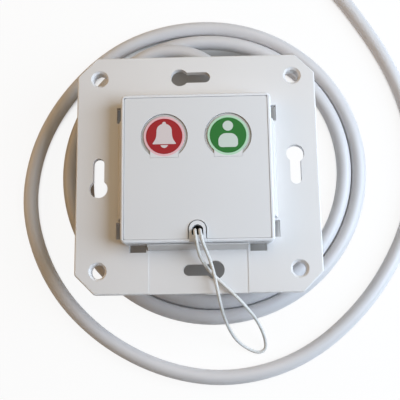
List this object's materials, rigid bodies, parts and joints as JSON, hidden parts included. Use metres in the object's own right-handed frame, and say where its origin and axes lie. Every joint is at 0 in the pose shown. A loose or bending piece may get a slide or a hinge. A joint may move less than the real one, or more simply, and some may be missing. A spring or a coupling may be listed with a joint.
{
  "type": "nurse call module",
  "caption": "Square nurse call insert snapped into a wall mounting frame, with a call key, a presence key, a looped pull cord and a round cable with a modular plug.",
  "frame": {"origin": "under the middle of the rear housing's back, on the surface that the module lies on", "axes": "+Z out of the front, +Y towards the edge of the front that has the keys, +X to the right seen from the front"},
  "size_m": [0.1349, 0.2127, 0.0328],
  "materials": {
    "frame_plastic": "fine satin moulded",
    "housing_plastic": "satin moulded",
    "rear_plastic": "satin moulded",
    "plate_film": "satin printed film",
    "key_plastic": "satin moulded",
    "call_red": "satin film",
    "presence_green": "satin film",
    "switch_black": "moulded",
    "plunger_plastic": "moulded",
    "lamp_resin": "clear cast",
    "board_laminate": "solder-resist coated",
    "screw_steel": "zinc plated",
    "chip_epoxy": "moulded",
    "slider_plastic": "moulded",
    "spring_steel": "drawn wire",
    "magnet_nickel": "nickel plated",
    "reed_glass": "drawn glass",
    "cord_fibre": "braided",
    "gland_rubber": "moulded",
    "terminal_plastic": "moulded",
    "core_sheath": "extruded",
    "cable_sheath": "satin extruded",
    "plug_plastic": "clear moulded",
    "contact_brass": "gold plated"
  },
  "bodies": {
    "module": {"mounting_frame": "frame_plastic", "front_housing": "housing_plastic", "rear_housing": "rear_plastic", "front_plate": "plate_film", "call_switch": "switch_black", "presence_switch": "switch_black", "call_lamp": "lamp_resin", "presence_lamp": "lamp_resin", "circuit_board": "board_laminate", "board_screws": "screw_steel", "control_chip": "chip_epoxy", "pull_spring": "spring_steel", "reed_switch": "reed_glass", "cable_gland": "gland_rubber", "terminal_block": "terminal_plastic", "cable_cores": "core_sheath", "call_cable": "cable_sheath", "cable_coil": "cable_sheath", "cable_plug": "plug_plastic", "plug_contacts": "contact_brass"},
    "call_key": {"call_key": "key_plastic", "call_key_disc": "call_red"},
    "call_plunger": {"call_switch_plunger": "plunger_plastic"},
    "presence_key": {"presence_key": "key_plastic", "presence_key_disc": "presence_green"},
    "presence_plunger": {"presence_switch_plunger": "plunger_plastic"},
    "cord_pull": {"pull_slider": "slider_plastic", "pull_magnet": "magnet_nickel", "pull_cord": "cord_fibre"}
  },
  "joints": [
    {"name": "call_key_press", "type": "hinge", "parent": "module", "child": "call_key", "pos_m": [-0.0095, 0.0029, 0.02915], "axis": [-1, 0, 0], "range_deg": [0, 3.5], "stiffness_Nm_per_rad": 0.16, "springref_deg": -0.29},
    {"name": "call_switch_travel", "type": "slide", "parent": "module", "child": "call_plunger", "axis": [0, 0, -1], "range_m": [0, 0.00045]},
    {"name": "presence_key_press", "type": "hinge", "parent": "module", "child": "presence_key", "pos_m": [0.0095, 0.0029, 0.02915], "axis": [-1, 0, 0], "range_deg": [0, 3.5], "stiffness_Nm_per_rad": 0.16, "springref_deg": -0.29},
    {"name": "presence_switch_travel", "type": "slide", "parent": "module", "child": "presence_plunger", "axis": [0, 0, -1], "range_m": [0, 0.00045]},
    {"name": "cord_pull_travel", "type": "slide", "parent": "module", "child": "cord_pull", "axis": [0, 0, 1], "range_m": [0, 0.0015], "stiffness_N_per_m": 700, "springref_m": -0.0008, "deforming": ["pull_spring"]}
  ],
  "couplings": [
    {"joint": "call_switch_travel", "follows": "call_key_press", "m_per_rad": 0.007},
    {"joint": "presence_switch_travel", "follows": "presence_key_press", "m_per_rad": 0.007}
  ]
}
